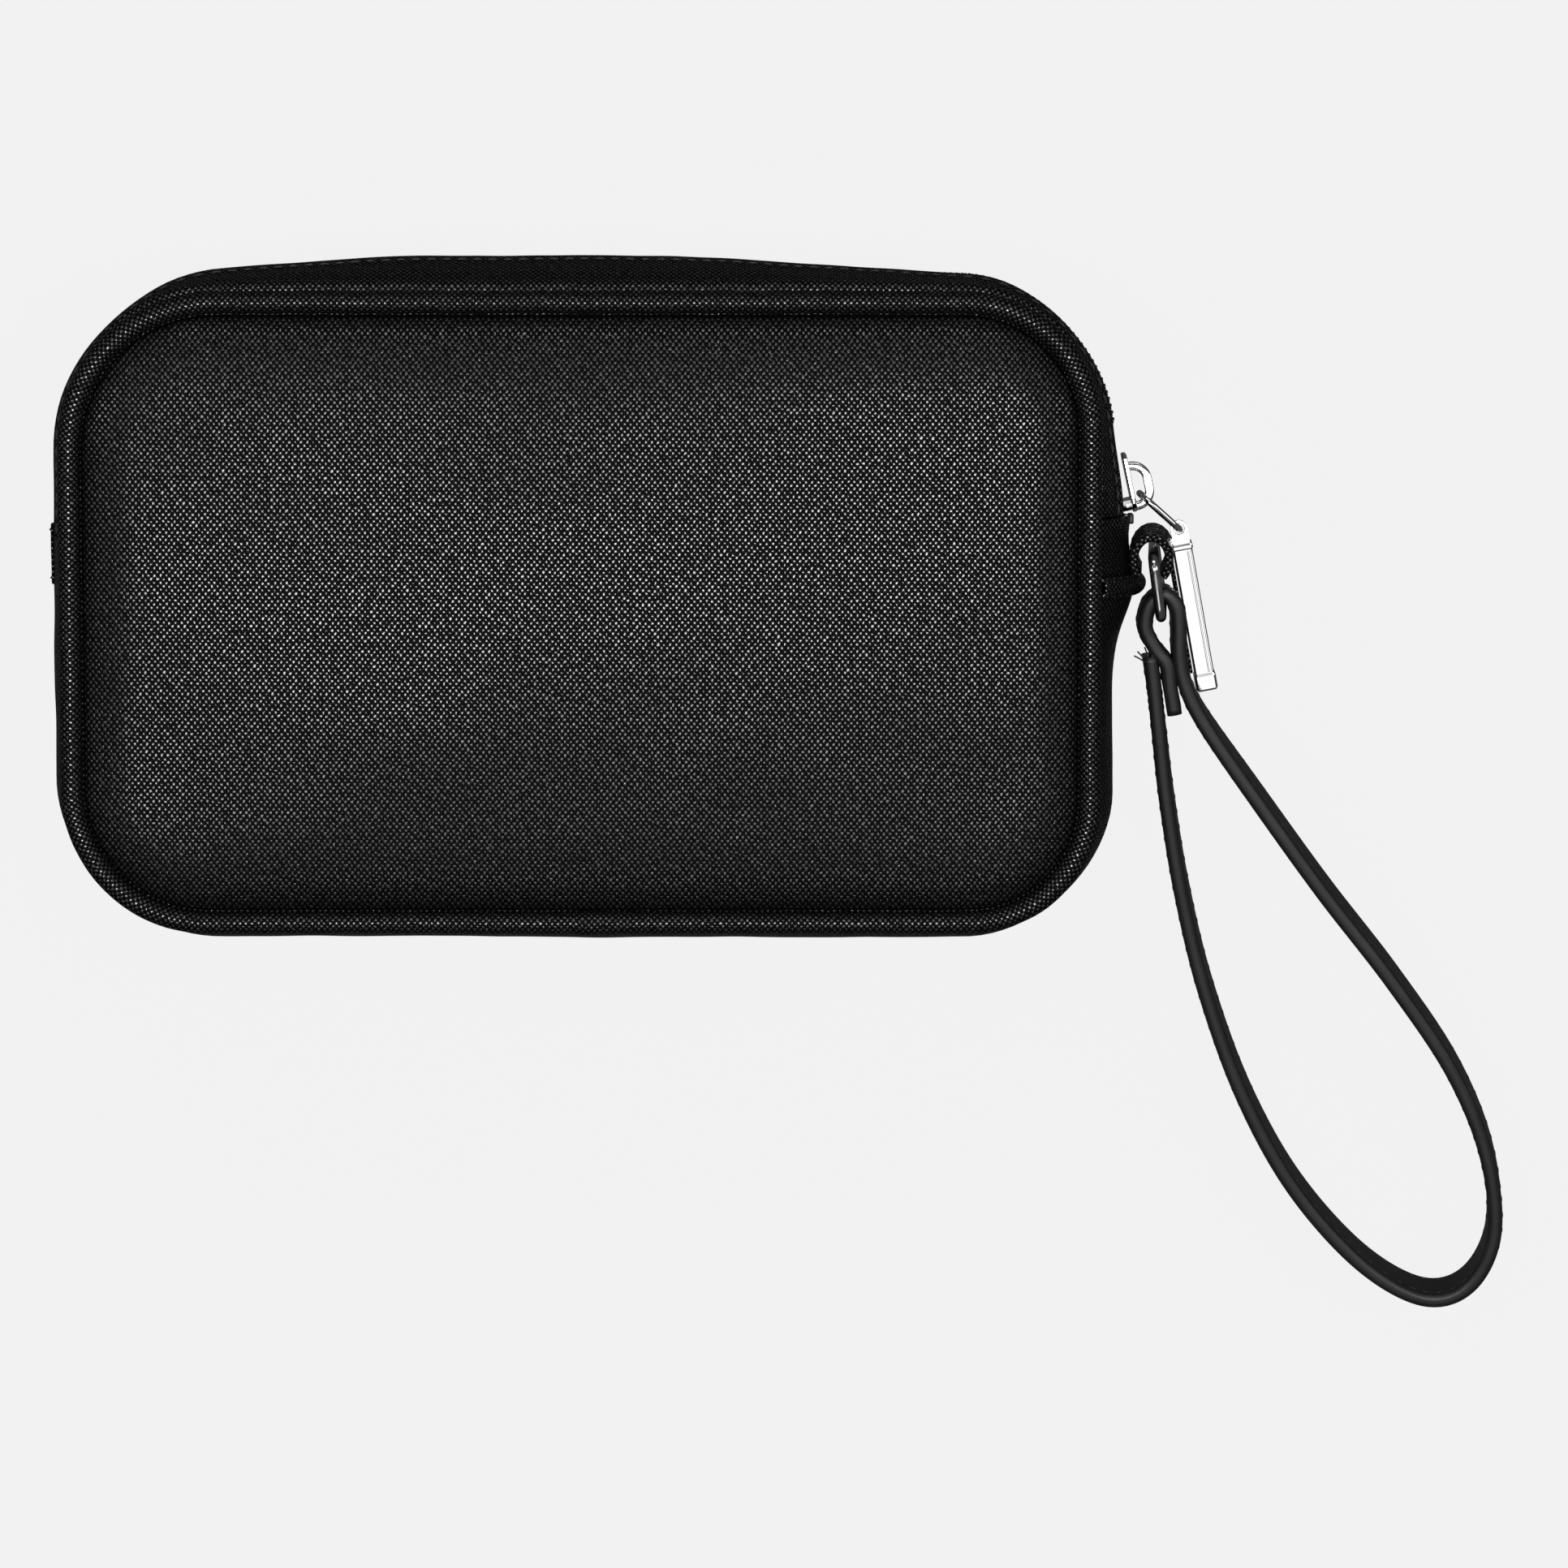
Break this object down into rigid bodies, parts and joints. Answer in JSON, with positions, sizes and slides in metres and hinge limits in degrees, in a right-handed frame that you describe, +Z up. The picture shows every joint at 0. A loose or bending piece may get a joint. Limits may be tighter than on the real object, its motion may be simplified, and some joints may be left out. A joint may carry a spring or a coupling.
{
  "type": "makeup bag",
  "caption": "Rounded rectangular zip-top cosmetic case in embossed black faux leather with covered piping, bar zip pull and looped wrist strap on a side ring.",
  "frame": {"origin": "centre of the front panel's flat outer face, which the bag lies on", "axes": "+X along the bag towards the wrist strap, +Y towards the zip's long run, +Z up out of the rear panel"},
  "size_m": [0.3181, 0.2321, 0.064],
  "materials": {
    "saffiano": "embossed with a diagonal cross hatch, satin",
    "lining_fabric": "plain woven, matte",
    "foam": "matte",
    "zip_tape": "herringbone woven, matte",
    "zip_coil": "nylon coil, satin",
    "chrome": "polished",
    "dark_chrome": "polished, dark",
    "strap_leather": "matte with painted edges"
  },
  "bodies": {
    "case": {"front_panel": "saffiano", "front_foam": "foam", "front_lining": "lining_fabric", "front_piping": "saffiano", "rear_panel_lower": "saffiano", "rear_foam_lower": "foam", "rear_lining_lower": "lining_fabric", "rear_piping_lower": "saffiano", "bottom_gusset": "saffiano", "bottom_gusset_lining": "lining_fabric", "front_zip_strip": "saffiano", "front_zip_tape": "zip_tape", "front_zip_teeth": "zip_coil", "rear_zip_strip_left": "saffiano", "rear_zip_strip_right": "saffiano", "rear_zip_tape_left": "zip_tape", "rear_zip_tape_right": "zip_tape", "rear_zip_teeth_left": "zip_coil", "rear_zip_teeth_right": "zip_coil", "zip_end_stop": "zip_tape", "zip_end_tab": "saffiano", "tab_rib": "saffiano", "tab_loop": "saffiano"},
    "flap": {"rear_panel_upper": "saffiano", "rear_foam_upper": "foam", "rear_lining_upper": "lining_fabric", "rear_piping_upper": "saffiano", "rear_zip_strip": "saffiano", "rear_zip_tape": "zip_tape", "rear_zip_teeth": "zip_coil"},
    "zip_slider": {"slider": "chrome"},
    "link": {"pull_link": "chrome"},
    "bar": {"pull_bar": "chrome", "pull_backing": "saffiano"},
    "ring": {"oval_ring": "dark_chrome"},
    "strap": {"wrist_strap": "strap_leather"}
  },
  "joints": [
    {"name": "mouth_open", "type": "hinge", "parent": "case", "child": "flap", "pos_m": [0, 0.005, 0.064], "axis": [1, 0, 0], "range_deg": [0, 25]},
    {"name": "slider_travel", "type": "slide", "parent": "case", "child": "zip_slider", "axis": [-0.2079, 0.9781, 0], "range_m": [0, 0.006]},
    {"name": "link_swing", "type": "hinge", "parent": "zip_slider", "child": "link", "pos_m": [0.1204, 0.02407, 0.03], "axis": [0, 0, 1], "range_deg": [-4, 60]},
    {"name": "bar_swing", "type": "hinge", "parent": "link", "child": "bar", "pos_m": [0.1289, 0.0164, 0.0268], "axis": [0, 0, 1], "range_deg": [-10, 70]},
    {"name": "ring_swing", "type": "hinge", "parent": "case", "child": "ring", "pos_m": [0.1229, 0.0124, 0.03787], "axis": [-0.0587, -0.2005, 0.9779], "range_deg": [0, 60]},
    {"name": "strap_swing", "type": "hinge", "parent": "ring", "child": "strap", "pos_m": [0.125, -0.0022, 0.035], "axis": [-0.0587, -0.2005, 0.9779], "range_deg": [-6, 40]}
  ]
}
